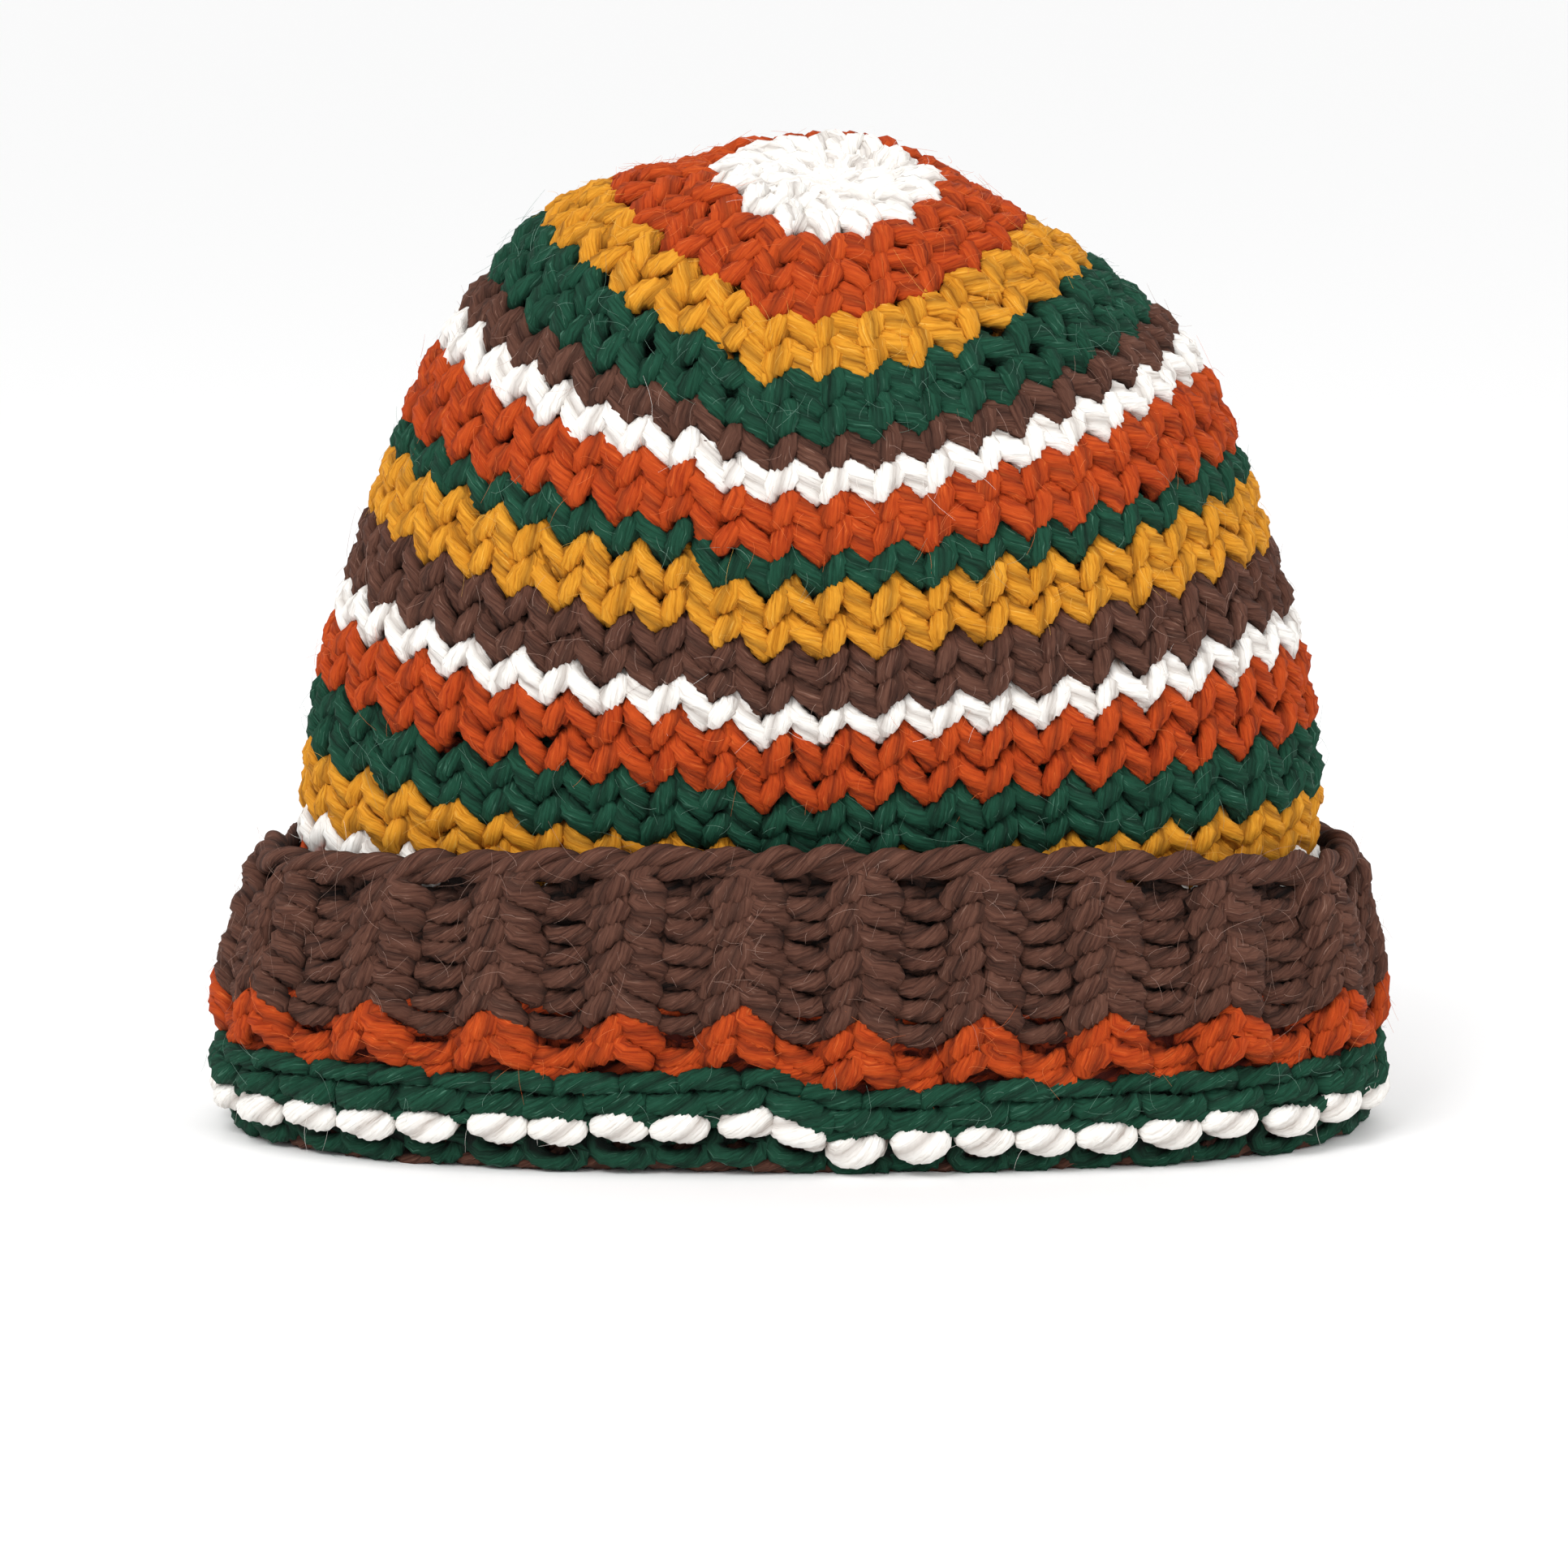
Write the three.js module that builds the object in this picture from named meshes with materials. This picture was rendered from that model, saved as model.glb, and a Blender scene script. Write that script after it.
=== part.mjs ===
// Knitted beanie with a turned-up ribbed cuff. Millimetres, +Z up, front towards -Y.
// The hat is one knitted tube, counted in courses (knitted rounds) from the cast-on edge at the top of the
// turned-up cuff, down to the fold, up the inside of the cuff and on to the gathered crown.
import * as THREE from "three";

// Driving dimensions
const wallThickness = 8;
const bandGap = 0.3;
const foldRadius = 5.5;
const foldFlattening = 1.2;
const foldHalfWidth = 108.5;
const foldDepth = 45.5;
const foldStartCourse = 9.6;
const foldEndCourse = 12.3;
const foldSteps = 6;
const foldSquareness = 2.4;
const castOnRadius = 3.6;
const castOnSides = 6;
const castOnSegments = 48;
const ribCount = 22;
const ribHeight = 3;
const ribCrestShare = 0.32;
const ribLastCourse = 8;
const starTips = 16;
const starTipCourses = 0.35;
const starBorderReach = 0.3;
const gatherDepth = 1.1;
const gatherFirstCourse = 41;
const gatherFullCourse = 45;
const ringSamples = 180;
const courseStep = 0.05;
const turnStep = 0.002;
const sideStretch = 0.08;
const sideTurn = 0.25;

// Rings of the middle of the wall. Heights at the left, right, front and back; half width; how far the
// front and the back stand from the middle plane; sideways shift; squareness (2 is an ellipse).
const sectionColumns = [
  "course",
  "left",
  "right",
  "front",
  "back",
  "halfWidth",
  "frontDepth",
  "backDepth",
  "shift",
  "squareness",
];
const cuffRows = [
  [0, 51.5, 51.5, 58, 51, 107, 50.5, 50.5, 1.5, 2.4],
  [3, 41, 41, 44.5, 41, 110, 50.8, 50.8, 1, 2.4],
  [6, 29.5, 29.5, 30, 29.5, 113, 51, 51, 0.3, 2.4],
  [8, 18.3, 18.3, 18.3, 18.3, 114, 51, 51, 0, 2.4],
];
const bodyRows = [
  [13.5, 17, 16.5, 16, 17, 102.3, 39.8, 39.8, 0, 2.4],
  [17, 42, 38, 35, 39, 99.5, 39.4, 39.4, 0.8, 2.4],
  [20, 64, 57, 52, 60, 97.5, 40, 40, 2, 2.3],
  [22, 77, 69, 62, 73, 97.5, 41, 41, 2.8, 2.3],
  [24, 89.5, 82, 73.5, 86, 96, 43.8, 43.8, 3.2, 2.2],
  [26, 102, 97, 87, 99, 92.5, 47.3, 47, 3.5, 2.2],
  [29, 122.5, 117, 103.5, 119, 86, 50.5, 49.5, 3.8, 2.1],
  [32, 141, 136, 122, 140, 79, 52.5, 50.5, 4, 2.05],
  [34, 154.5, 150, 132.5, 154, 72.5, 52.5, 50.5, 4.2, 2],
  [36, 168, 161, 143.5, 167.5, 63, 51.5, 47, 4, 2],
  [38, 179, 170.5, 154.5, 180, 51.5, 49.8, 37.5, 3, 2],
  [40, 185.5, 178.5, 164.5, 186, 38.5, 46, 22.5, 3, 2],
  [43, 188.5, 186, 177, 194, 22.5, 38.5, 1.5, 5, 2],
  [45, 187.5, 187, 182.5, 189.5, 9.5, 27, -9.5, 5, 2],
  [46, 185, 185, 184, 186, 2.5, 20, -15.5, 5, 2],
];

const yarns = {
  brown: "#4a2a20",
  orange: "#b0430f",
  green: "#0d4430",
  white: "#f4f1ec",
  gold: "#d18e1c",
};

// Colour bands in knitting order. steps is the number of facets along the band.
const bandColumns = ["name", "yarn", "courses", "segments", "steps"];
const bandRows = [
  ["cuff_rib_brown", "brown", 6, 88, 3],
  ["cuff_rib_orange", "orange", 2, 88, 1],
  ["cuff_turn_green", "green", 1, 48, 1],
  ["cuff_turn_white", "white", 1, 48, 2],
  ["fold_green", "green", 1, 48, 1],
  ["inner_brown", "brown", 2, 48, 2],
  ["inner_gold", "gold", 2, 40, 1],
  ["inner_green", "green", 2, 40, 1],
  ["inner_orange", "orange", 2, 40, 1],
  ["body_white_low", "white", 1, 40, 1],
  ["body_gold_low", "gold", 2, 40, 1],
  ["body_green_low", "green", 2, 40, 1],
  ["body_orange_low", "orange", 2, 40, 1],
  ["body_white_middle", "white", 1, 40, 1],
  ["body_brown", "brown", 2, 40, 1],
  ["body_gold_high", "gold", 2, 40, 1],
  ["body_green_high", "green", 1, 40, 1],
  ["body_orange_high", "orange", 2, 40, 1],
  ["body_white_high", "white", 1, 40, 1],
  ["crown_brown", "brown", 1, 40, 1],
  ["crown_green", "green", 2, 40, 2],
  ["crown_gold", "gold", 2, 40, 2],
  ["crown_orange", "orange", 3, 64, 2],
  ["crown_star_white", "white", 3, 64, 2],
];

function named(columns, row) {
  return Object.fromEntries(columns.map((column, i) => [column, row[i]]));
}

// The fold is a half turn between the outer and the inner layer of the cuff.
function foldRow(step) {
  const part = step / foldSteps;
  const angle = Math.PI * part;
  const out = foldRadius * Math.cos(angle);
  const height = foldRadius * (1 - Math.sin(angle)) + wallThickness / 2 - foldFlattening;
  const course = THREE.MathUtils.lerp(foldStartCourse, foldEndCourse, part);
  const heights = [height, height, height, height];
  return [course, ...heights, foldHalfWidth + out, foldDepth + out, foldDepth + out, 0, foldSquareness];
}

// The courses between which the fold's underside is pressed flat.
const footAngle = Math.asin(1 - foldFlattening / (foldRadius + wallThickness / 2));
const footCourses = [footAngle, Math.PI - footAngle].map((angle) =>
  THREE.MathUtils.lerp(foldStartCourse, foldEndCourse, angle / Math.PI),
);

const foldRows = Array.from({ length: foldSteps + 1 }, (_, step) => foldRow(step));
const sections = [...cuffRows, ...foldRows, ...bodyRows].map((row) => named(sectionColumns, row));

function slope(column, i) {
  const before = sections[Math.max(i - 1, 0)];
  const after = sections[Math.min(i + 1, sections.length - 1)];
  return (after[column] - before[column]) / (after.course - before.course);
}

// The ring's sizes at any course, on smooth curves through the table's rows.
function sectionAt(course) {
  const last = sections.length - 2;
  const next = sections.findIndex((section) => section.course > course);
  const i = next < 0 ? last : THREE.MathUtils.clamp(next - 1, 0, last);
  const low = sections[i];
  const high = sections[i + 1];
  const span = high.course - low.course;
  const t = (course - low.course) / span;
  const blend = (column) =>
    (2 * t ** 3 - 3 * t ** 2 + 1) * low[column] +
    (t ** 3 - 2 * t ** 2 + t) * span * slope(column, i) +
    (3 * t ** 2 - 2 * t ** 3) * high[column] +
    (t ** 3 - t ** 2) * span * slope(column, i + 1);
  return Object.fromEntries(sectionColumns.map((column) => [column, blend(column)]));
}

// A point of a ring. The angle starts at the front and turns towards +X.
function ringPoint(section, angle) {
  const across = Math.sin(angle);
  const along = Math.cos(angle);
  const power = 2 / section.squareness;
  const middle = (section.backDepth - section.frontDepth) / 2;
  const halfDepth = (section.backDepth + section.frontDepth) / 2;
  const side = across > 0 ? section.right : section.left;
  const end = along > 0 ? section.front : section.back;
  return new THREE.Vector3(
    section.shift + section.halfWidth * Math.sign(across) * Math.abs(across) ** power,
    middle - halfDepth * Math.sign(along) * Math.abs(along) ** power,
    side * across ** 2 + end * along ** 2,
  );
}

// Each ring's angles at even steps of length around it.
const ringCache = new Map();

function ringAt(course) {
  if (ringCache.has(course)) return ringCache.get(course);
  const section = sectionAt(course);
  const lengths = [0];
  let before = ringPoint(section, 0);
  for (let i = 1; i <= ringSamples; i++) {
    const point = ringPoint(section, (2 * Math.PI * i) / ringSamples);
    lengths.push(lengths[i - 1] + point.distanceTo(before));
    before = point;
  }
  const ring = { section, lengths };
  ringCache.set(course, ring);
  return ring;
}

// A point of the middle of the wall, with turn from 0 to 1 around the hat. The columns of stitches lie closer
// together at the front and the back than at the sides, where the fabric is stretched round.
function wallPoint(turn, course) {
  const { section, lengths } = ringAt(course);
  const part = turn - Math.floor(turn);
  const stretched = part - (sideStretch * Math.sin(4 * Math.PI * part)) / (4 * Math.PI);
  const goal = stretched * lengths[ringSamples];
  const next = THREE.MathUtils.clamp(lengths.findIndex((length) => length > goal), 1, ringSamples);
  const share = (goal - lengths[next - 1]) / (lengths[next] - lengths[next - 1]);
  return ringPoint(section, (2 * Math.PI * (next - 1 + share)) / ringSamples);
}

// The wall's normal on the knit side, which faces out on the body and in on the turned-up cuff.
function wallNormal(turn, course) {
  const around = wallPoint(turn + turnStep, course).sub(wallPoint(turn - turnStep, course));
  const onward = wallPoint(turn, course + courseStep).sub(wallPoint(turn, course - courseStep));
  return around.cross(onward).normalize();
}

// Knit columns stand out from the wall by the crest's share of the rib, and purl columns lie back.
function ribOffset(turn, course) {
  if (course > ribLastCourse) return 0;
  const crest = (1 - Math.cos(2 * Math.PI * ribCount * turn)) / 2;
  return ribHeight * (crest + ribCrestShare - 1);
}

function gatherOffset(turn, course) {
  const reach = THREE.MathUtils.smoothstep(course, gatherFirstCourse, gatherFullCourse);
  return gatherDepth * reach * Math.cos(2 * Math.PI * starTips * turn);
}

function knitSidePoint(turn, course) {
  const out = wallThickness / 2 + gatherOffset(turn, course);
  return wallPoint(turn, course).addScaledVector(wallNormal(turn, course), out);
}

// The purl side is the cuff's outside, with its ribs, and the foot that lies flat on a table.
function purlSidePoint(turn, course) {
  const out = wallThickness / 2 + ribOffset(turn, course);
  const point = wallPoint(turn, course).addScaledVector(wallNormal(turn, course), -out);
  point.z = Math.max(point.z, 0);
  return point;
}

// The border between the crown's last two bands is drawn into points.
function starOffset(turn, course) {
  if (Math.abs(course - starFirstCourse) > starBorderReach) return 0;
  return -starTipCourses * Math.cos(2 * Math.PI * starTips * turn);
}

function meshGeometry(points, triangles) {
  const geometry = new THREE.BufferGeometry();
  const positions = points.flatMap((point) => point.toArray());
  geometry.setAttribute("position", new THREE.Float32BufferAttribute(positions, 3));
  geometry.setIndex(triangles);
  geometry.computeVertexNormals();
  return geometry;
}

// The courses of a band's rings: even steps, and the edges of the flat foot where it has them.
function bandCourses(from, to, evenSteps) {
  const even = Array.from({ length: evenSteps + 1 }, (_, i) => THREE.MathUtils.lerp(from, to, i / evenSteps));
  const edges = footCourses.filter((course) => course > from && course < to);
  return [...even, ...edges].sort((a, b) => a - b);
}

// One colour band: a wall with a knit side, a purl side and its two edges, or a closed top.
function bandGeometry(from, to, band, closedTop) {
  const points = [];
  const triangles = [];
  const segments = band.segments;
  const courses = bandCourses(from, to, band.steps);
  const steps = courses.length - 1;
  for (const sidePoint of [knitSidePoint, purlSidePoint]) {
    for (const course of courses) {
      for (let i = 0; i < segments; i++) {
        const turn = i / segments;
        points.push(sidePoint(turn, course + starOffset(turn, course)));
      }
    }
  }
  const layer = (steps + 1) * segments;
  const at = (side, step, i) => side * layer + step * segments + (i % segments);
  const quad = (a, b, c, d) => triangles.push(a, b, c, a, c, d);
  for (let i = 0; i < segments; i++) {
    for (let step = 0; step < steps; step++) {
      quad(at(0, step, i), at(0, step, i + 1), at(0, step + 1, i + 1), at(0, step + 1, i));
      quad(at(1, step, i), at(1, step + 1, i), at(1, step + 1, i + 1), at(1, step, i + 1));
    }
    quad(at(0, 0, i), at(1, 0, i), at(1, 0, i + 1), at(0, 0, i + 1));
    if (!closedTop) {
      quad(at(0, steps, i), at(0, steps, i + 1), at(1, steps, i + 1), at(1, steps, i));
    }
  }
  if (closedTop) {
    for (const side of [0, 1]) {
      const middle = new THREE.Vector3();
      for (let i = 0; i < segments; i++) {
        middle.addScaledVector(points[at(side, steps, i)], 1 / segments);
      }
      points.push(middle);
      for (let i = 0; i < segments; i++) {
        const edge = [at(side, steps, i), at(side, steps, i + 1)];
        if (side === 1) edge.reverse();
        triangles.push(...edge, points.length - 1);
      }
    }
  }
  return meshGeometry(points, triangles);
}

// The cast-on edge is a round roll that sits on top of the cuff.
function castOnGeometry() {
  const points = [];
  const triangles = [];
  for (let i = 0; i < castOnSegments; i++) {
    const turn = i / castOnSegments;
    const middle = wallPoint(turn, 0);
    const out = wallNormal(turn, 0).negate().setZ(0).normalize();
    middle.z += castOnRadius + bandGap;
    for (let side = 0; side < castOnSides; side++) {
      const angle = (2 * Math.PI * side) / castOnSides;
      const point = middle.clone().addScaledVector(out, castOnRadius * Math.cos(angle));
      point.z += castOnRadius * Math.sin(angle);
      points.push(point);
    }
  }
  const at = (i, side) => (i % castOnSegments) * castOnSides + (side % castOnSides);
  for (let i = 0; i < castOnSegments; i++) {
    for (let side = 0; side < castOnSides; side++) {
      triangles.push(at(i, side), at(i + 1, side), at(i + 1, side + 1));
      triangles.push(at(i, side), at(i + 1, side + 1), at(i, side + 1));
    }
  }
  return meshGeometry(points, triangles);
}

const bands = bandRows.map((row) => named(bandColumns, row));
let knitted = 0;
for (const band of bands) {
  band.from = knitted;
  knitted += band.courses;
  band.to = knitted;
}
const starFirstCourse = bands[bands.length - 1].from;

// Half of the gap between two bands, in courses, measured at the side of the hat.
function gapCourses(course) {
  const rise = wallPoint(sideTurn, course + courseStep).distanceTo(wallPoint(sideTurn, course - courseStep));
  return (bandGap / 2) * ((2 * courseStep) / rise);
}

function yarnMesh(name, yarn, geometry) {
  const material = new THREE.MeshStandardMaterial({ color: yarns[yarn], roughness: 0.95, metalness: 0 });
  const mesh = new THREE.Mesh(geometry, material);
  mesh.name = name;
  return mesh;
}

const beanie = new THREE.Group();
beanie.add(yarnMesh("cast_on_edge", "brown", castOnGeometry()));
for (const band of bands) {
  const closedTop = band.to === knitted;
  const from = band.from + gapCourses(band.from);
  const to = closedTop ? band.to : band.to - gapCourses(band.to);
  beanie.add(yarnMesh(band.name, band.yarn, bandGeometry(from, to, band, closedTop)));
}

export default beanie;
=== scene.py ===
# Striped beanie, knitted course by course: every stitch is a loop of plied yarn on the hat's own form.
import bpy
import math
import numpy as np
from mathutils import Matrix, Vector


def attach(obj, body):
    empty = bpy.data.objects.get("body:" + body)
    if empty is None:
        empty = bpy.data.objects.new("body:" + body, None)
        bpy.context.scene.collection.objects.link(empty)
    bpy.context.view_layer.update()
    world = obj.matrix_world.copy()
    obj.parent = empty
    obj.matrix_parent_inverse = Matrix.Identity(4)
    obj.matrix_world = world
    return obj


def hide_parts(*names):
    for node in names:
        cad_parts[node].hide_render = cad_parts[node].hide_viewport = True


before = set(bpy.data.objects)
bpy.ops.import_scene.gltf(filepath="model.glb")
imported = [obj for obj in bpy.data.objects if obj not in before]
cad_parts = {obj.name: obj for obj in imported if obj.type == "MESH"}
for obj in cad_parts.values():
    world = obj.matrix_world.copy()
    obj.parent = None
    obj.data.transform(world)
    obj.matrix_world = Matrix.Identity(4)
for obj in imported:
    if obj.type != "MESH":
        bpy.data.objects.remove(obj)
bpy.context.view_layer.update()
mm = 0.001  # the form is worked out in millimetres, the scene is in metres


# The hat's form: the middle of the fabric, ring by ring

hatForm = dict(
    wall=8, smallestRadius=0.6,
    foldRadius=5.5, foldFlattening=1.2, foldHalfWidth=108.5, foldDepth=45.5, foldSquareness=2.4,
    foldFirst=9.6, foldLast=12.3, foldSteps=6,  # courses where the cuff turns under
    sideStretch=(0.08, -0.02), stretchEase=(12, 19),  # closer columns at the cuff's front, wider on the body
    firstCourse=-2.0, lastCourse=47.0, courseSamples=24, turnSamples=720, angleSamples=720,
)

# course, heights at left, right, front and back, half width, front depth, back depth, shift, squareness
cuffRings = [
    (0, 51.5, 51.5, 58, 51, 107, 50.5, 50.5, 1.5, 2.4),
    (3, 41, 41, 44.5, 41, 110, 50.8, 50.8, 1, 2.4),
    (6, 29.5, 29.5, 30, 29.5, 113, 51, 51, 0.3, 2.4),
    (8, 18.3, 18.3, 18.3, 18.3, 114, 51, 51, 0, 2.4),
]
bodyRings = [
    (13.5, 17, 16.5, 16, 17, 102.3, 39.8, 39.8, 0, 2.4),
    (17, 42, 38, 35, 39, 99.5, 39.4, 39.4, 0.8, 2.4),
    (20, 64, 57, 52, 60, 97.5, 40, 40, 2, 2.3),
    (22, 77, 69, 62, 73, 97.5, 41, 41, 2.8, 2.3),
    (24, 89.5, 82, 73.5, 86, 96, 43.8, 43.8, 3.2, 2.2),
    (26, 102, 97, 87, 99, 92.5, 47.3, 47, 3.5, 2.2),
    (29, 122.5, 117, 103.5, 119, 86, 50.5, 49.5, 3.8, 2.1),
    (32, 141, 136, 122, 140, 79, 52.5, 50.5, 4, 2.05),
    (34, 154.5, 150, 132.5, 154, 72.5, 52.5, 50.5, 4.2, 2),
    (36, 168, 161, 143.5, 167.5, 63, 51.5, 47, 4, 2),
    (38, 179, 170.5, 154.5, 180, 51.5, 49.8, 37.5, 3, 2),
    (40, 185.5, 178.5, 164.5, 186, 38.5, 46, 22.5, 3, 2),
    (43, 188.5, 186, 177, 194, 22.5, 38.5, 1.5, 5, 2),
    (45, 187.5, 187, 182.5, 189.5, 9.5, 27, -9.5, 5, 2),
    (46, 185, 185, 184, 186, 2.5, 20, -15.5, 5, 2),
]


def foldRings(form):
    rings = []
    for step in range(form["foldSteps"] + 1):
        part = step / form["foldSteps"]
        out = form["foldRadius"] * math.cos(math.pi * part)
        rise = form["foldRadius"] * (1 - math.sin(math.pi * part))
        height = rise + form["wall"] / 2 - form["foldFlattening"]
        course = form["foldFirst"] + part * (form["foldLast"] - form["foldFirst"])
        halfWidth = form["foldHalfWidth"] + out
        depth = form["foldDepth"] + out
        rings.append((course, *[height] * 4, halfWidth, depth, depth, 0, form["foldSquareness"]))
    return rings


def unit(vectors):
    return vectors / np.maximum(np.linalg.norm(vectors, axis=-1, keepdims=True), 1e-12)


def ringSizes(rings, courses):
    # smooth sizes between the rings
    rings = np.array(rings, float)
    at = rings[:, 0]
    slopes = np.gradient(rings, axis=0) / np.gradient(at)[:, None]
    slopes[1:-1] = (rings[2:] - rings[:-2]) / (at[2:] - at[:-2])[:, None]
    place = np.clip(courses, at[0], at[-1])
    i = np.clip(np.searchsorted(at, place, side="right") - 1, 0, len(at) - 2)
    span = (at[i + 1] - at[i])[:, None]
    t = ((place - at[i])[:, None]) / span
    sizes = ((2 * t**3 - 3 * t**2 + 1) * rings[i] + (t**3 - 2 * t**2 + t) * span * slopes[i]
             + (3 * t**2 - 2 * t**3) * rings[i + 1] + (t**3 - t**2) * span * slopes[i + 1])
    beyond = (courses - place)[:, None]  # straight on past the first and last ring
    return sizes + beyond * np.where(beyond < 0, slopes[0], slopes[-1])


class HatSurface:
    def __init__(self, form, rings):
        self.form = form
        self.courses = np.arange(form["firstCourse"], form["lastCourse"], 1 / form["courseSamples"])
        sizes = ringSizes(rings, self.courses)
        angles = np.linspace(0, 2 * math.pi, form["angleSamples"] + 1)
        turns = np.arange(form["turnSamples"]) / form["turnSamples"]
        stretches = np.interp(self.courses, form["stretchEase"], form["sideStretch"])
        rows = []
        for size, stretch in zip(sizes, stretches):
            stretched = turns - stretch * np.sin(4 * math.pi * turns) / (4 * math.pi)
            dense = self.ring(size, angles)
            steps = np.linalg.norm(np.diff(dense, axis=0), axis=1)
            lengths = np.concatenate([[0], np.cumsum(steps)])
            rows.append(self.ring(size, np.interp(stretched * lengths[-1], lengths, angles)))
        self.points = np.array(rows)
        around = np.roll(self.points, -1, axis=1) - np.roll(self.points, 1, axis=1)
        onward = np.gradient(self.points, axis=0)
        self.normals = unit(np.cross(around, onward))

    def ring(self, size, angles):
        left, right, front, back, halfWidth, frontDepth, backDepth, shift, squareness = size[1:]
        smallest = self.form["smallestRadius"]
        across, along = np.sin(angles), np.cos(angles)
        power = 2 / squareness
        x = shift + max(halfWidth, smallest) * np.sign(across) * np.abs(across) ** power
        y = (backDepth - frontDepth) / 2
        y = y - max((backDepth + frontDepth) / 2, smallest) * np.sign(along) * np.abs(along) ** power
        z = np.where(across > 0, right, left) * across**2 + np.where(along > 0, front, back) * along**2
        return np.stack([x, y, z], axis=-1)

    def sample(self, turn, course):
        # point and knit-side normal, between the grid's four nearest points
        columns = self.form["turnSamples"]
        lastRow = len(self.courses) - 1.001  # a little before the last, so that a row always follows
        u = (turn % 1) * columns
        v = np.clip((course - self.courses[0]) * self.form["courseSamples"], 0, lastRow)
        i, j = np.floor(u).astype(int) % columns, np.floor(v).astype(int)
        a, b = (u - np.floor(u))[..., None], (v - j)[..., None]
        following = (i + 1) % columns
        blended = []
        for grid in (self.points, self.normals):
            low = grid[j, i] * (1 - a) + grid[j, following] * a
            high = grid[j + 1, i] * (1 - a) + grid[j + 1, following] * a
            blended.append(low * (1 - b) + high * b)
        return blended[0], unit(blended[1])


surface = HatSurface(hatForm, cuffRings + foldRings(hatForm) + bodyRings)
print("form:", surface.points.shape)


# Knitting, in millimetres, courses and turns round the hat

knitting = dict(
    stitches=44,
    ownPlace=0.55,  # how far a column keeps its place where the crown's columns even out
    spread=0.31,  # how far the legs of a stitch lean
    reach=0.9,  # half height of a loop, in courses
    depth=1.85,  # how far legs and heads stand from the middle of the fabric
    yarnRadius=2.4, plump=0.34, flat=0.96, crownFirst=32, crownPlump=1.12,
    headEnd=0.78, headRound=0.5,  # where a head begins to swell, and how fast
    plyPitch=19.0, groove=0.24,
    ribLast=8, ribHeight=3.0, ribCrest=0.32, ribShare=0.1, ribPlump=1.1, purlPlump=1.3,
    ribShade=0.25,  # share of the ribs' height that counts for the painted shade between the yarns
    steps=24, sides=10, fineCourse=9, fineSteps=48, hiddenSteps=12, hiddenFirst=12, hiddenLast=18,
    turnJitter=0.055, courseJitter=0.06, depthJitter=0.35, radiusJitter=0.06,
    joinAt=((0, 11, 31), (0.003, 0.0, -0.05)),  # courses, and turns where their rounds begin and end
    joinStep=((0, 4, 9, 12, 16, 40, 43), (0.0, 0.45, 0.5, 0.0, -0.45, -0.45, 0.0)),  # courses, and half steps
    joinWidth=0.014, joinReach=0.06,
    seed=41,
)

# courses at the turn of the cuff and at the star: middle and half height of the loops,
# thickness of heads and legs, side of the sinkers
plainLoop = dict(heads=1.0, legs=1.0, sinkers=1.0)
shapedLoops = {
    7: dict(plainLoop, middle=7.2, reach=0.68),
    8: dict(plainLoop, middle=8.5, reach=0.4, heads=1.5, legs=1.15),
    9: dict(middle=9.15, reach=0.45, heads=1.75, legs=0.5, sinkers=-1.4),
    10: dict(plainLoop, middle=9.9, reach=0.62, heads=1.2, sinkers=0.6),
    11: dict(plainLoop, middle=11.2, reach=0.55),
    43: dict(plainLoop, middle=43.75, reach=1.15, heads=0.75),
    44: dict(plainLoop, middle=44.9, reach=0.9, heads=0.75),
    45: dict(plainLoop, middle=45.6, reach=0.6, heads=0.75),
}

# courses and stitches of the crown's decreases
crownStitches = {32: 42, 34: 40, 36: 38, 37: 34, 38: 30, 39: 28, 40: 22, 41: 20, 42: 16, 44: 10, 45: 8}

# node, colour of the yarn, courses
bands = [
    ("cuff_rib_brown", "brown", 6),
    ("cuff_rib_orange", "orange", 2),
    ("cuff_turn_green", "green", 1),
    ("cuff_turn_white", "white", 1),
    ("fold_green", "green", 1),
    ("inner_brown", "brown", 2),
    ("inner_gold", "gold", 2),
    ("inner_green", "green", 2),
    ("inner_orange", "orange", 2),
    ("body_white_low", "white", 1),
    ("body_gold_low", "gold", 2),
    ("body_green_low", "green", 2),
    ("body_orange_low", "orange", 2),
    ("body_white_middle", "white", 1),
    ("body_brown", "brown", 2),
    ("body_gold_high", "gold", 2),
    ("body_green_high", "green", 1),
    ("body_orange_high", "orange", 2),
    ("body_white_high", "white", 1),
    ("crown_brown", "brown", 1),
    ("crown_green", "green", 2),
    ("crown_gold", "gold", 2),
    ("crown_orange", "orange", 3),
    ("crown_star_white", "white", 3),
]


def mergedColumns(centres, wanted):
    # neighbours knitted together, spread evenly round the course
    count = len(centres)
    merged = np.floor((np.arange(count - wanted) + 0.5) * count / (count - wanted)).astype(int)
    kept = []
    skip = False
    for i in range(count):
        if skip:
            skip = False
        elif i in merged and i + 1 < count:
            kept.append((centres[i] + centres[i + 1]) / 2)
            skip = True
        else:
            kept.append(centres[i])
    return np.array(kept)


def stitchColumns(values):
    # middles of the stitches of each course, as turns
    centres = np.arange(values["stitches"]) / values["stitches"]
    columns = {}
    for course in range(sum(rounds for name, colour, rounds in bands)):
        wanted = crownStitches.get(course, len(centres))
        if wanted < len(centres):
            centres = mergedColumns(centres, wanted)
        even = np.arange(len(centres)) / len(centres)
        even = even + np.mean(centres - even)
        centres = values["ownPlace"] * centres + (1 - values["ownPlace"]) * even
        columns[course] = centres
    return columns


def wobble(rng, knots, samples):
    # smooth closed random line through a few random knots
    values = rng.normal(0, 1, knots)
    place = np.arange(samples) * knots / samples
    i = np.floor(place).astype(int)
    t = place - i
    t = t * t * (3 - 2 * t)
    return values[i % knots] * (1 - t) + values[(i + 1) % knots] * t


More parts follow.
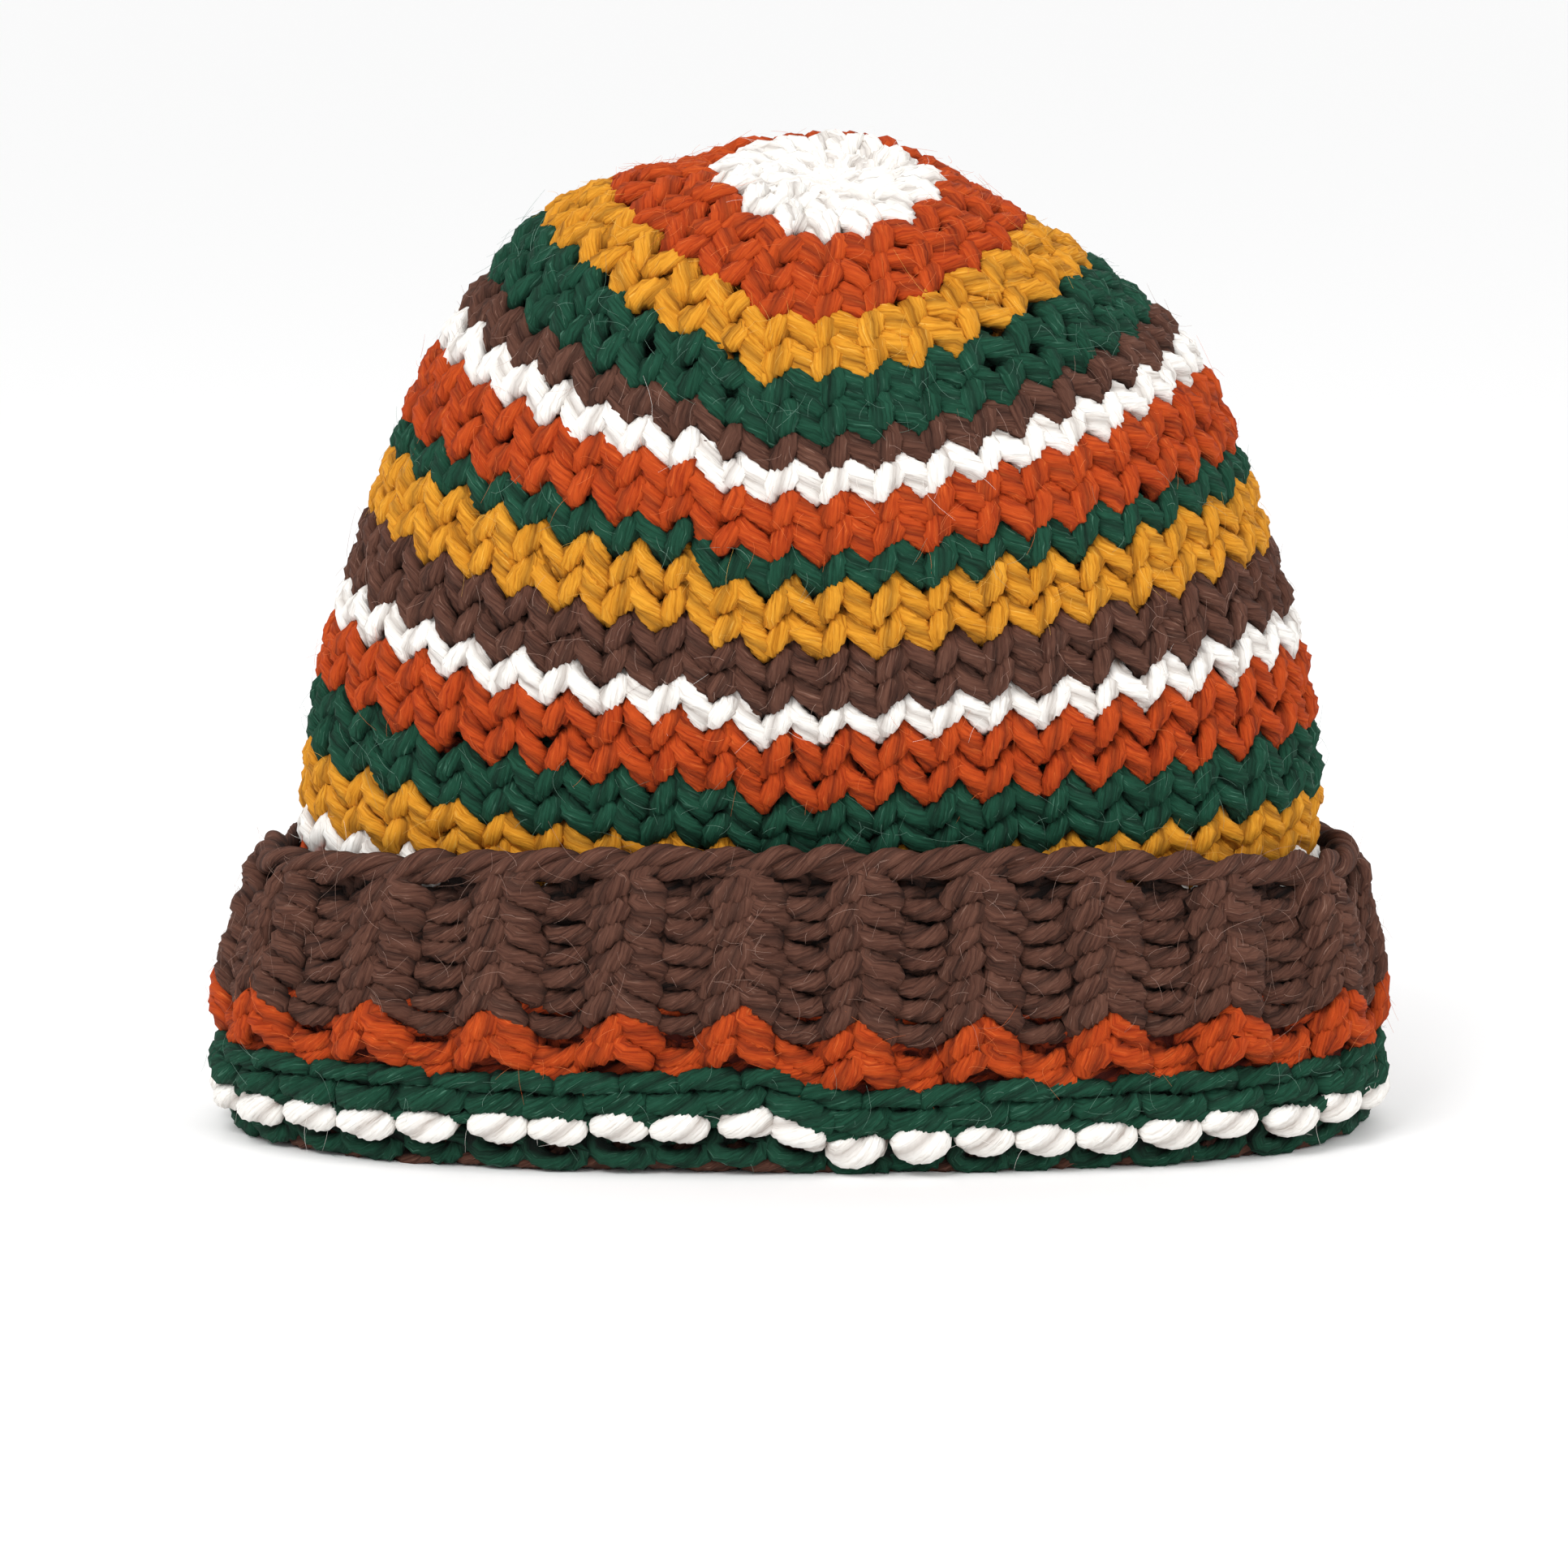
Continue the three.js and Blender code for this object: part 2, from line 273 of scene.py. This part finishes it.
def ribOut(values, turn, course):
    crest = (1 - np.cos(math.pi * values["stitches"] * turn)) / 2
    return np.where(course < values["ribLast"], values["ribHeight"] * (crest + values["ribCrest"] - 1), 0)


def joinShift(values, turn, course):
    # rounds are a spiral: near the join its two sides stand apart by nearly a course
    away = (turn - np.interp(course, *values["joinAt"]) + 0.5) % 1 - 0.5
    step = np.clip(away / values["joinWidth"], -1, 1) * np.exp(-np.abs(away) / values["joinReach"])
    return step * np.interp(course, *values["joinStep"])


def measured(line, plyPitch):
    # length of a closed line up to each point and in all, and the turning of its plies
    lengths = np.linalg.norm(np.roll(line, -1, axis=0) - line, axis=1)
    total = lengths.sum()
    run = np.cumsum(lengths) - lengths
    return run, total, 2 * math.pi * round(total / plyPitch) * run / total


def courseYarn(values, course, centres, rng):
    # the yarn of one course, as a closed line of loops round the hat
    count = len(centres)
    steps = values["steps"]
    if values["hiddenFirst"] <= course <= values["hiddenLast"]:
        steps = values["hiddenSteps"]
    elif course == values["fineCourse"]:
        steps = values["fineSteps"]
    t = 2 * math.pi * np.arange(steps) / steps
    place = shapedLoops.get(course, dict(plainLoop, middle=course + 0.5, reach=values["reach"]))
    following = np.append(centres[1:], centres[0] + 1)
    rib = course < values["ribLast"]
    face = np.where(np.arange(count) % 2 == 1, -1, 1) if rib else np.ones(count)  # side of the legs
    share = (1 - values["ribShare"] * face) / 2 if rib else 0.5  # columns that stand out are wider
    sinkers = centres + (following - centres) * share
    starts = np.append(sinkers[-1] - 1, sinkers[:-1])
    widths = sinkers - starts
    before, after = (face + np.roll(face, 1)) / 2, (face + np.roll(face, -1)) / 2

    samples = count * steps
    jitter = {name: wobble(rng, 2 * count, samples) for name in ("turn", "course", "depth", "radius")}
    turn = starts[:, None] + widths[:, None] * (t / (2 * math.pi) + values["spread"] * np.sin(2 * t))
    turn = turn.ravel() + jitter["turn"] * values["turnJitter"] * np.repeat(widths, steps)
    along = np.tile(place["middle"] - place["reach"] * np.cos(t), count)
    along = along + jitter["course"] * values["courseJitter"] + joinShift(values, turn, course)

    legs = np.sin(t) ** 2
    bends = np.repeat(face[:, None], steps, axis=1)
    bends[:, t < math.pi / 2] = before[:, None] * place["sinkers"]
    bends[:, t > 3 * math.pi / 2] = after[:, None] * place["sinkers"]
    side = values["depth"] * (face[:, None] * legs - bends * (1 - legs)).ravel()
    relief = ribOut(values, turn, course)
    out = side - relief + jitter["depth"] * values["depthJitter"]
    points, normals = surface.sample(turn, along)
    line = points + normals * out[:, None]

    heads = np.clip((-np.cos(t) - values["headEnd"]) / (1 - values["headEnd"]), 0, 1) ** values["headRound"]
    radius = values["yarnRadius"] * (1 - values["plump"] / 2 + values["plump"] * np.tile(legs, count))
    radius = radius * np.tile(place["legs"] + (place["heads"] - place["legs"]) * heads, count)
    radius = radius * (1 + values["radiusJitter"] * jitter["radius"])
    if course >= values["crownFirst"]:
        radius = radius * values["crownPlump"]
    if rib:
        purl = 1 + (values["purlPlump"] - 1) * heads
        radius = radius * np.where(face[:, None] < 0, values["ribPlump"], purl).ravel()
    run, total, spin = measured(line, values["plyPitch"])
    outward = -1 if course < values["hiddenFirst"] else 1
    spin = spin + rng.uniform(0, math.pi)
    # side: how far the yarn stands from the middle of the fabric, with part of the ribs' height, for the
    # painted shade between the yarns
    return dict(line=line, up=normals, radius=radius, spin=spin, run=run, total=total, steps=steps,
                side=(side - relief * values["ribShade"]) * outward, outward=normals * outward)


# Meshes

yarnMaps = dict(unit=10.0, shift=500.0, stripColumns=2.2, inset=0.04)  # yarn coordinates are in centimetres
grooveSharpness = 4


def sweepTubes(lines, ups, radii, spins, sides, groove, flat, closed):
    # rings of points round each line; a groove on two sides parts the two plies
    ahead = np.roll(lines, -1, axis=1) - np.roll(lines, 1, axis=1) if closed else np.gradient(lines, axis=1)
    tangents = unit(ahead)
    across = unit(np.cross(tangents, ups))
    lift = np.cross(across, tangents)
    angles = 2 * math.pi * np.arange(sides) / sides
    lobes = radii[..., None] * (1 - groove * np.abs(np.cos(angles)) ** grooveSharpness)
    phases = spins[..., None] + angles
    rings = (lines[:, :, None, :] + (lobes * np.cos(phases))[..., None] * across[:, :, None, :]
             + (lobes * np.sin(phases) * flat)[..., None] * lift[:, :, None, :])
    count, steps = lines.shape[:2]
    index = np.arange(count * steps * sides).reshape(count, steps, sides)
    onward = np.roll(index, -1, axis=1) if closed else index[:, 1:]
    here = index if closed else index[:, :-1]
    quads = np.stack([here, onward, np.roll(onward, -1, axis=2), np.roll(here, -1, axis=2)], axis=-1)
    return rings, quads


def meshPiece(name, points, faces, maps, risen, material):
    mesh = bpy.data.meshes.new(name)
    mesh.from_pydata(points.tolist(), [], faces)
    relief = mesh.attributes.new("risen", "FLOAT", "POINT")  # millimetres from the middle of the fabric, for the painted shade in the crevices
    relief.data.foreach_set("value", risen.astype(np.float32))
    for label, corners in maps.items():
        layer = mesh.uv_layers.new(name=label)
        layer.uv.foreach_set("vector", np.ascontiguousarray(corners, dtype=np.float32).ravel())
    mesh.polygons.foreach_set("use_smooth", np.ones(len(mesh.polygons), dtype=bool))
    mesh.materials.append(material)
    mesh.update()
    piece = bpy.data.objects.new(name, mesh)
    bpy.context.scene.collection.objects.link(piece)
    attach(piece, "root")
    return piece


def faceCorners(left, right, low, high):
    # map coordinates of the four corners of every face
    corners = [np.stack(np.broadcast_arrays(u, v), -1)
               for u, v in ((left, low), (right, low), (right, high), (left, high))]
    return np.stack(corners, axis=2).reshape(-1, 2)


def yarnCorners(yarn, sides, shift):
    # along the yarn, and once round it
    marks = np.append(yarn["run"], yarn["total"]) / yarnMaps["unit"] + shift
    around = np.arange(sides + 1)[None] / sides
    return faceCorners(marks[:-1, None], marks[1:, None], around[:, :-1], around[:, 1:])


def bakeCorners(yarn, sides, strip, columns, rows):
    # every stitch has a strip of its own
    samples = np.arange(len(yarn["line"]))
    stitch = strip + samples // yarn["steps"]
    part = (samples % yarn["steps"] / yarn["steps"])[:, None]
    cellU, cellV = (stitch % columns)[:, None], (stitch // columns)[:, None]
    inset, width = yarnMaps["inset"], 1 - 2 * yarnMaps["inset"]
    left = (cellU + inset + width * part) / columns
    right = (cellU + inset + width * (part + 1 / yarn["steps"])) / columns
    around = (cellV + inset + width * np.arange(sides + 1)[None] / sides) / rows
    return faceCorners(left, right, around[:, :-1], around[:, 1:])


def yarnPiece(name, yarns, material, values, rng):
    # one piece of several closed yarns
    points, faces, risens, yarnMap, bakeMap = [], [], [], [], []
    offset = 0
    strip = 0
    sides = values["sides"]
    stripCount = sum(len(yarn["line"]) // yarn["steps"] for yarn in yarns)
    stripColumns = max(1, round(math.sqrt(stripCount / yarnMaps["stripColumns"])))
    stripRows = math.ceil(stripCount / stripColumns)
    for yarn in yarns:
        swept = [yarn[part][None] for part in ("line", "up", "radius", "spin")]
        rings, quads = sweepTubes(*swept, sides, values["groove"], values["flat"], True)
        # how far each point stands from the middle of the fabric, for the painted crevice shade
        around = rings[0] - yarn["line"][:, None]
        risen = np.einsum("ijk,ik->ij", around, yarn["outward"]) + yarn["side"][:, None]
        risens.append(np.abs(risen).ravel())
        corners = rings[0].reshape(-1, 3)
        corners[:, 2] = np.maximum(corners[:, 2], 0)  # pressed flat where the hat stands
        points.append(corners)
        faces.append(quads.reshape(-1, 4) + offset)
        yarnMap.append(yarnCorners(yarn, sides, rng.uniform(0, yarnMaps["shift"])))
        bakeMap.append(bakeCorners(yarn, sides, strip, stripColumns, stripRows))
        offset += len(corners)
        strip += len(yarn["line"]) // yarn["steps"]
    maps = {"yarn": np.concatenate(yarnMap), "OFBake": np.concatenate(bakeMap)}
    points = np.concatenate(points) * mm
    return meshPiece(name, points, np.concatenate(faces).tolist(), maps, np.concatenate(risens), material)


# Shaders

class Shade:
    def __init__(self, tree, socket=None):
        self.tree = tree
        self.socket = socket

    def node(self, kind, settings, sockets, output=0):
        made = self.tree.nodes.new(kind)
        for name, value in settings.items():
            setattr(made, name, value)
        for name, value in sockets.items():
            if isinstance(value, Shade):
                self.tree.links.new(value.socket, made.inputs[name])
            else:
                made.inputs[name].default_value = value
        return Shade(self.tree, made.outputs[output] if made.outputs else None)

    def maths(self, operation, first, second):
        return self.node("ShaderNodeMath", {"operation": operation}, {0: first, 1: second})

    def __add__(self, other):
        return self.maths("ADD", self, other)

    def __radd__(self, other):
        return self.maths("ADD", other, self)

    def __sub__(self, other):
        return self.maths("SUBTRACT", self, other)

    def __rsub__(self, other):
        return self.maths("SUBTRACT", other, self)

    def __mul__(self, other):
        return self.maths("MULTIPLY", self, other)

    def __rmul__(self, other):
        return self.maths("MULTIPLY", other, self)

    def clamped(self, low, high):
        return self.node("ShaderNodeMapRange", {}, {"Value": self, "From Min": low, "From Max": high})

    def noise(self, along, around, detail):
        place = self.node("ShaderNodeCombineXYZ", {}, {"X": along, "Y": around})
        return self.node("ShaderNodeTexNoise", {}, {"Vector": place, "Scale": 1.0, "Detail": detail,
                                                    "Roughness": 0.6})

    def mixed(self, factor, first, second):
        return self.node("ShaderNodeMix", {"data_type": "RGBA"}, {0: factor, 6: first, 7: second}, 2)


def linear(red, green, blue):
    # from 0 to 255 as on a screen
    channels = [value / 255 for value in (red, green, blue)]
    curve = [c / 12.92 if c <= 0.04045 else ((c + 0.055) / 1.055) ** 2.4 for c in channels]
    return (*curve, 1.0)


# per yarn: the shade colour that the painted shade mixes in, its own colour, a lighter tone, pale fibres and
# sheen
yarnLook = dict(
    brown=dict(shadeColour=linear(14, 5, 3), body=linear(62, 34, 25), light=linear(104, 68, 54),
               wisp=linear(150, 116, 100), sheen=0.06),
    orange=dict(shadeColour=linear(58, 8, 0), body=linear(152, 44, 5), light=linear(196, 78, 20),
                wisp=linear(224, 116, 52), sheen=0.03),
    green=dict(shadeColour=linear(0, 9, 5), body=linear(3, 46, 30), light=linear(26, 78, 58),
               wisp=linear(92, 138, 118), sheen=0.05),
    white=dict(shadeColour=linear(122, 102, 90), body=linear(238, 233, 226), light=linear(252, 250, 246),
               wisp=linear(255, 255, 252), sheen=0.02),
    gold=dict(shadeColour=linear(70, 32, 0), body=linear(186, 114, 12), light=linear(228, 160, 46),
              wisp=linear(244, 194, 96), sheen=0.03),
)
yarnFinish = dict(
    # noise cells for 10 mm of yarn and once round it, then what the noise does
    fibreAlong=1.8, fibreAround=24.0, fibreDetail=4.0, fibreRange=(0.36, 0.66), fibreShare=0.7,
    # painted shade in the hollows between the fibre streaks, where the bump is low
    gapRange=(0.25, 0.46), gapShade=0.4,
    patchAlong=0.35, patchAround=1.5, patchDetail=2.0, patchRange=(0.3, 0.7), patchShare=0.3,
    wispAlong=2.6, wispAround=30.0, wispDetail=3.0, wispSlant=0.05, wispRange=(0.6, 0.7), wispShare=0.5,
    # painted shade in the grooves between the two plies
    plyRange=(0.0, 0.7), grooveShade=0.5,
    creviceRange=(0.2, 3.4), creviceShade=0.85,  # millimetres from the middle of the fabric; painted shade in the crevices between the yarns
    plyRise=0.6, fibreRise=0.7, bumpHeight=0.0006, bumpStrength=0.9,
    roughness=0.95, smoothing=0.12, specular=0.25, sheenRoughness=0.5,
)


def yarnMaterial(name, look, finish):
    material = bpy.data.materials.new(name)
    material.use_nodes = True
    tree = material.node_tree
    tree.nodes.clear()
    shade = Shade(tree)
    place = shade.node("ShaderNodeUVMap", {"uv_map": "yarn"}, {})
    along = shade.node("ShaderNodeSeparateXYZ", {}, {"Vector": place}, 0)
    around = shade.node("ShaderNodeSeparateXYZ", {}, {"Vector": place}, 1)
    slanted = around + along * finish["wispSlant"]
    fibre = shade.noise(along * finish["fibreAlong"], around * finish["fibreAround"], finish["fibreDetail"])
    patch = shade.noise(along * finish["patchAlong"], around * finish["patchAround"], finish["patchDetail"])
    wisp = shade.noise(along * finish["wispAlong"], slanted * finish["wispAround"], finish["wispDetail"])
    # ply ridges, low in the grooves between the two plies, for the painted groove shade and the bump
    ridge = shade.node("ShaderNodeMath", {"operation": "SINE"}, {0: around * (2 * math.pi)})
    ridge = shade.node("ShaderNodeMath", {"operation": "ABSOLUTE"}, {0: ridge})
    ply = ridge.clamped(*finish["plyRange"])
    # painted shade in the crevices between the yarns, strongest where the yarn lies low in the fabric
    risen = shade.node("ShaderNodeAttribute", {"attribute_name": "risen"}, {}, 2)
    crevice = 1 - risen.clamped(*finish["creviceRange"])
    tone = fibre.clamped(*finish["fibreRange"]) * finish["fibreShare"]
    tone = tone + patch.clamped(*finish["patchRange"]) * finish["patchShare"]
    colour = shade.mixed(tone, look["body"], look["light"])
    colour = shade.mixed(wisp.clamped(*finish["wispRange"]) * finish["wispShare"], colour, look["wisp"])
    # painted shade from the ply grooves, fibre hollows and crevices mixes each colour towards its shade
    # colour
    paintedShade = (1 - ply) * finish["grooveShade"] + (1 - fibre.clamped(*finish["gapRange"])) * finish["gapShade"]
    paintedShade = paintedShade + crevice * crevice * finish["creviceShade"]
    colour = shade.mixed(paintedShade.clamped(0.0, 1.0), colour, look["shadeColour"])
    bump = shade.node("ShaderNodeBump", {}, {
        "Strength": finish["bumpStrength"], "Distance": finish["bumpHeight"],
        "Height": ply * finish["plyRise"] + fibre * finish["fibreRise"]})
    shader = shade.node("ShaderNodeBsdfPrincipled", {}, {
        "Base Color": colour, "Roughness": finish["roughness"] - finish["smoothing"] * tone, "Normal": bump,
        "Specular IOR Level": finish["specular"], "Sheen Weight": look["sheen"],
        "Sheen Roughness": finish["sheenRoughness"], "Sheen Tint": look["light"]})
    shade.node("ShaderNodeOutputMaterial", {}, {"Surface": shader})
    return material


yarnMaterials = {name: yarnMaterial("yarn_" + name, look, yarnFinish) for name, look in yarnLook.items()}
print("materials:", len(yarnMaterials))


# Work the courses, band by band

columns = stitchColumns(knitting)
pieces = {}
worked = {}
course = 0
for name, colour, rounds in bands:
    rng = np.random.default_rng(knitting["seed"] + course)
    worked[name] = [courseYarn(knitting, course + i, columns[course + i], rng) for i in range(rounds)]
    course += rounds
    piece = yarnPiece(name + "_yarn", worked[name], yarnMaterials[colour], knitting, rng)
    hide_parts(name)
    "yarn_" + colour
    pieces[name] = piece
print("courses:", course, "pieces:", len(pieces))


# Cast-on edge: two strands laid round each other along the top of the cuff

castOn = dict(
    strandRadius=2.1, layRadius=1.5, lift=3.0, laysPerStitch=0.5, stepsPerStitch=20,
    rise=2.5,  # millimetres from the middle of the fabric, for the painted shade between the strands
    angleJitter=0.25, liftJitter=0.35, radiusJitter=0.06, seed=7,
)


def castOnYarns(values):
    rng = np.random.default_rng(values["seed"])
    stitches = knitting["stitches"]
    samples = stitches * values["stepsPerStitch"]
    turn = np.arange(samples) / samples
    middle, normals = surface.sample(turn, np.zeros(samples))
    outward = unit(-normals * np.array([1, 1, 0]))
    yarns = []
    for strand in range(2):
        angle = 2 * math.pi * stitches * values["laysPerStitch"] * turn + math.pi * strand
        angle = angle + values["angleJitter"] * wobble(rng, stitches, samples)
        lift = values["lift"] + values["liftJitter"] * wobble(rng, stitches, samples)
        side = values["layRadius"] * np.cos(angle)
        line = middle + outward * side[:, None]
        line[:, 2] += lift + values["layRadius"] * np.sin(angle)
        radius = values["strandRadius"] * (1 + values["radiusJitter"] * wobble(rng, 2 * stitches, samples))
        run, total, spin = measured(line, knitting["plyPitch"])
        yarns.append(dict(line=line, up=outward, radius=radius, spin=spin, run=run, total=total,
                          steps=values["stepsPerStitch"], side=values["rise"] + side, outward=outward))
    return yarns


worked["cast_on_edge"] = castOnYarns(castOn)
edge = yarnPiece("cast_on_edge_yarn", worked["cast_on_edge"], yarnMaterials["brown"], knitting,
                 np.random.default_rng(castOn["seed"]))
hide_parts("cast_on_edge")
pieces["cast_on_edge"] = edge
print("cast-on edge:", len(worked["cast_on_edge"]), "strands")


# Loose fibres that stand off the yarn

halo = dict(
    perCourse=dict(brown=100, orange=60, green=100, white=40, gold=50),
    length=(1.5, 6.0), radius=0.034, taper=0.5, lift=(0.1, 1.6), curl=0.8, steps=5, sides=3,
    shownFrom=0.2, root=0.9, floorGap=0.2,  # only on yarn that shows, from inside it, clear of the floor
    plyPlace=0.25, risen=5.0, cell=(0.1, 0.9),  # on the ridge of a ply and out of the crevices, clear of the painted groove and crevice shade
    sheen=0.1, seed=90,
)


# the first colour is the shade colour that the painted shade mixes in
def fluffLook(shadeColour, body, light):
    return dict(shadeColour=shadeColour, body=body, light=light, wisp=light, sheen=halo["sheen"])


haloLook = dict(
    brown=fluffLook(linear(92, 60, 48), linear(140, 104, 90), linear(190, 160, 146)),
    orange=fluffLook(linear(150, 50, 12), linear(210, 92, 38), linear(236, 140, 84)),
    green=fluffLook(linear(30, 76, 58), linear(72, 116, 98), linear(140, 170, 156)),
    white=fluffLook(linear(200, 190, 180), linear(236, 230, 224), linear(246, 243, 236)),
    gold=fluffLook(linear(170, 104, 20), linear(222, 158, 56), linear(240, 196, 110)),
)


def haloPiece(name, yarns, perCourse, material, values, rng):
    lines, ups = [], []
    s = np.linspace(0, 1, values["steps"])[None, :, None]
    for yarn in yarns:
        shown = np.flatnonzero(yarn["side"] > values["shownFrom"])
        chosen = rng.choice(shown, perCourse)
        outward = yarn["outward"][chosen]
        heading = unit(np.cross(outward, rng.normal(0, 1, (perCourse, 3))))
        beside = np.cross(outward, heading)
        length = rng.uniform(*values["length"], perCourse)[:, None]
        lift = rng.uniform(*values["lift"], perCourse)[:, None]
        curl = rng.normal(0, values["curl"], perCourse)[:, None]
        start = yarn["line"][chosen] + outward * (yarn["radius"][chosen] * values["root"])[:, None]
        line = (start[:, None] + s * (length * heading)[:, None] + s**2 * (length * curl * beside)[:, None]
                + s * (lift * outward)[:, None])
        line[:, :, 2] = np.maximum(line[:, :, 2], values["floorGap"])
        lines.append(line)
        ups.append(np.repeat(outward[:, None], values["steps"], axis=1))
    lines, ups = np.concatenate(lines), np.concatenate(ups)
    count, steps, sides = len(lines), values["steps"], values["sides"]
    radii = np.broadcast_to(values["radius"] * (1 - values["taper"] * s[..., 0]), (count, steps))
    rings, quads = sweepTubes(lines, ups, radii, np.zeros((count, steps)), sides, 0, 1, False)
    index = np.arange(count * steps * sides).reshape(count, steps, sides)
    ends = np.concatenate([index[:, 0], index[:, -1, ::-1]])
    faces = quads.reshape(-1, 4).tolist() + ends.tolist()

    perHair = (steps - 1) * sides
    shifts = rng.uniform(0, yarnMaps["shift"], count)
    spots = np.stack([shifts, np.full(count, values["plyPlace"])], -1)
    yarnMap = np.concatenate([np.repeat(spots, perHair * 4, axis=0),
                              np.tile(np.repeat(spots, sides, axis=0), (2, 1))])
    cells = math.ceil(math.sqrt(count))
    cell = np.stack([np.arange(count) % cells, np.arange(count) // cells], -1) / cells
    low, high = values["cell"]
    corner = np.array([(low, low), (high, low), (high, high), (low, high)]) / cells
    bakeQuads = (np.repeat(cell, perHair, axis=0)[:, None] + corner[None]).reshape(-1, 2)
    bakeEnds = np.tile((cell[:, None] + corner[None, :sides]).reshape(-1, 2), (2, 1))
    maps = {"yarn": yarnMap, "OFBake": np.concatenate([bakeQuads, bakeEnds])}
    risen = np.full(index.size, values["risen"])
    return meshPiece(name, rings.reshape(-1, 3) * mm, faces, maps, risen, material)


for colour, look in haloLook.items():
    rng = np.random.default_rng(halo["seed"])
    strands = [yarn for name, shown, rounds in bands if shown == colour and not name.startswith("inner")
               for yarn in worked[name]]
    strands += worked["cast_on_edge"] if colour == "brown" else []
    material = yarnMaterial("fluff_" + colour, look, yarnFinish)
    fluff = haloPiece("fluff_" + colour, strands, halo["perCourse"][colour], material, halo, rng)
    "yarn_" + colour
    pieces["fluff_" + colour] = fluff
print("fluff:", len(haloLook), "pieces")


# Floor, light and camera

studio = dict(
    floorSize=60.0, floorColour=linear(250, 250, 250), floorRoughness=0.9, world=1.0,
    lights=(("key", (-0.55, -0.9, 1.15), 0.6, 9.0), ("fill", (0.9, -0.8, 0.7), 0.8, 3.0)),
    lightAim=(0, 0, 0.08),  # lights have a place, a size and watts
    elevation=9.0, distance=1.1, lens=126.5, sensor=36.0, aim=(-0.0031, 0.0, 0.0682),
)


def makeStudio(values):
    scene = bpy.context.scene
    half = values["floorSize"] / 2
    mesh = bpy.data.meshes.new("floor")
    corners = [(-half, -half, 0), (half, -half, 0), (half, half, 0), (-half, half, 0)]
    mesh.from_pydata(corners, [], [(0, 1, 2, 3)])
    material = bpy.data.materials.new("floor_paper")
    material.use_nodes = True
    shader = material.node_tree.nodes["Principled BSDF"]
    shader.inputs["Base Color"].default_value = values["floorColour"]
    shader.inputs["Roughness"].default_value = values["floorRoughness"]
    mesh.materials.append(material)
    floor = bpy.data.objects.new("floor", mesh)
    scene.collection.objects.link(floor)

    world = bpy.data.worlds.new("studio")
    world.use_nodes = True
    background = world.node_tree.nodes["Background"]
    background.inputs["Color"].default_value = (1, 1, 1, 1)
    background.inputs["Strength"].default_value = values["world"]
    scene.world = world

    for name, place, size, power in values["lights"]:
        light = bpy.data.lights.new(name, "AREA")
        light.energy = power
        light.size = size
        lamp = bpy.data.objects.new(name, light)
        lamp.location = place
        lamp.rotation_mode = "QUATERNION"
        lamp.rotation_quaternion = (Vector(values["lightAim"]) - Vector(place)).to_track_quat("-Z", "Y")
        scene.collection.objects.link(lamp)

    lens = bpy.data.cameras.new("camera")
    lens.lens = values["lens"]
    lens.sensor_width = values["sensor"]
    camera = bpy.data.objects.new("camera", lens)
    tilt = math.radians(values["elevation"])
    back = Vector((0, -math.cos(tilt), math.sin(tilt)))
    camera.location = Vector(values["aim"]) + back * values["distance"]
    camera.rotation_mode = "QUATERNION"
    camera.rotation_quaternion = (-back).to_track_quat("-Z", "Y")
    scene.collection.objects.link(camera)
    scene.camera = camera
    scene.view_settings.view_transform = "Standard"


makeStudio(studio)
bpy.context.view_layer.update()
triangles = [sum(len(face.vertices) - 2 for face in piece.data.polygons) for piece in pieces.values()]
print("triangles:", sum(triangles), "most:", max(triangles))
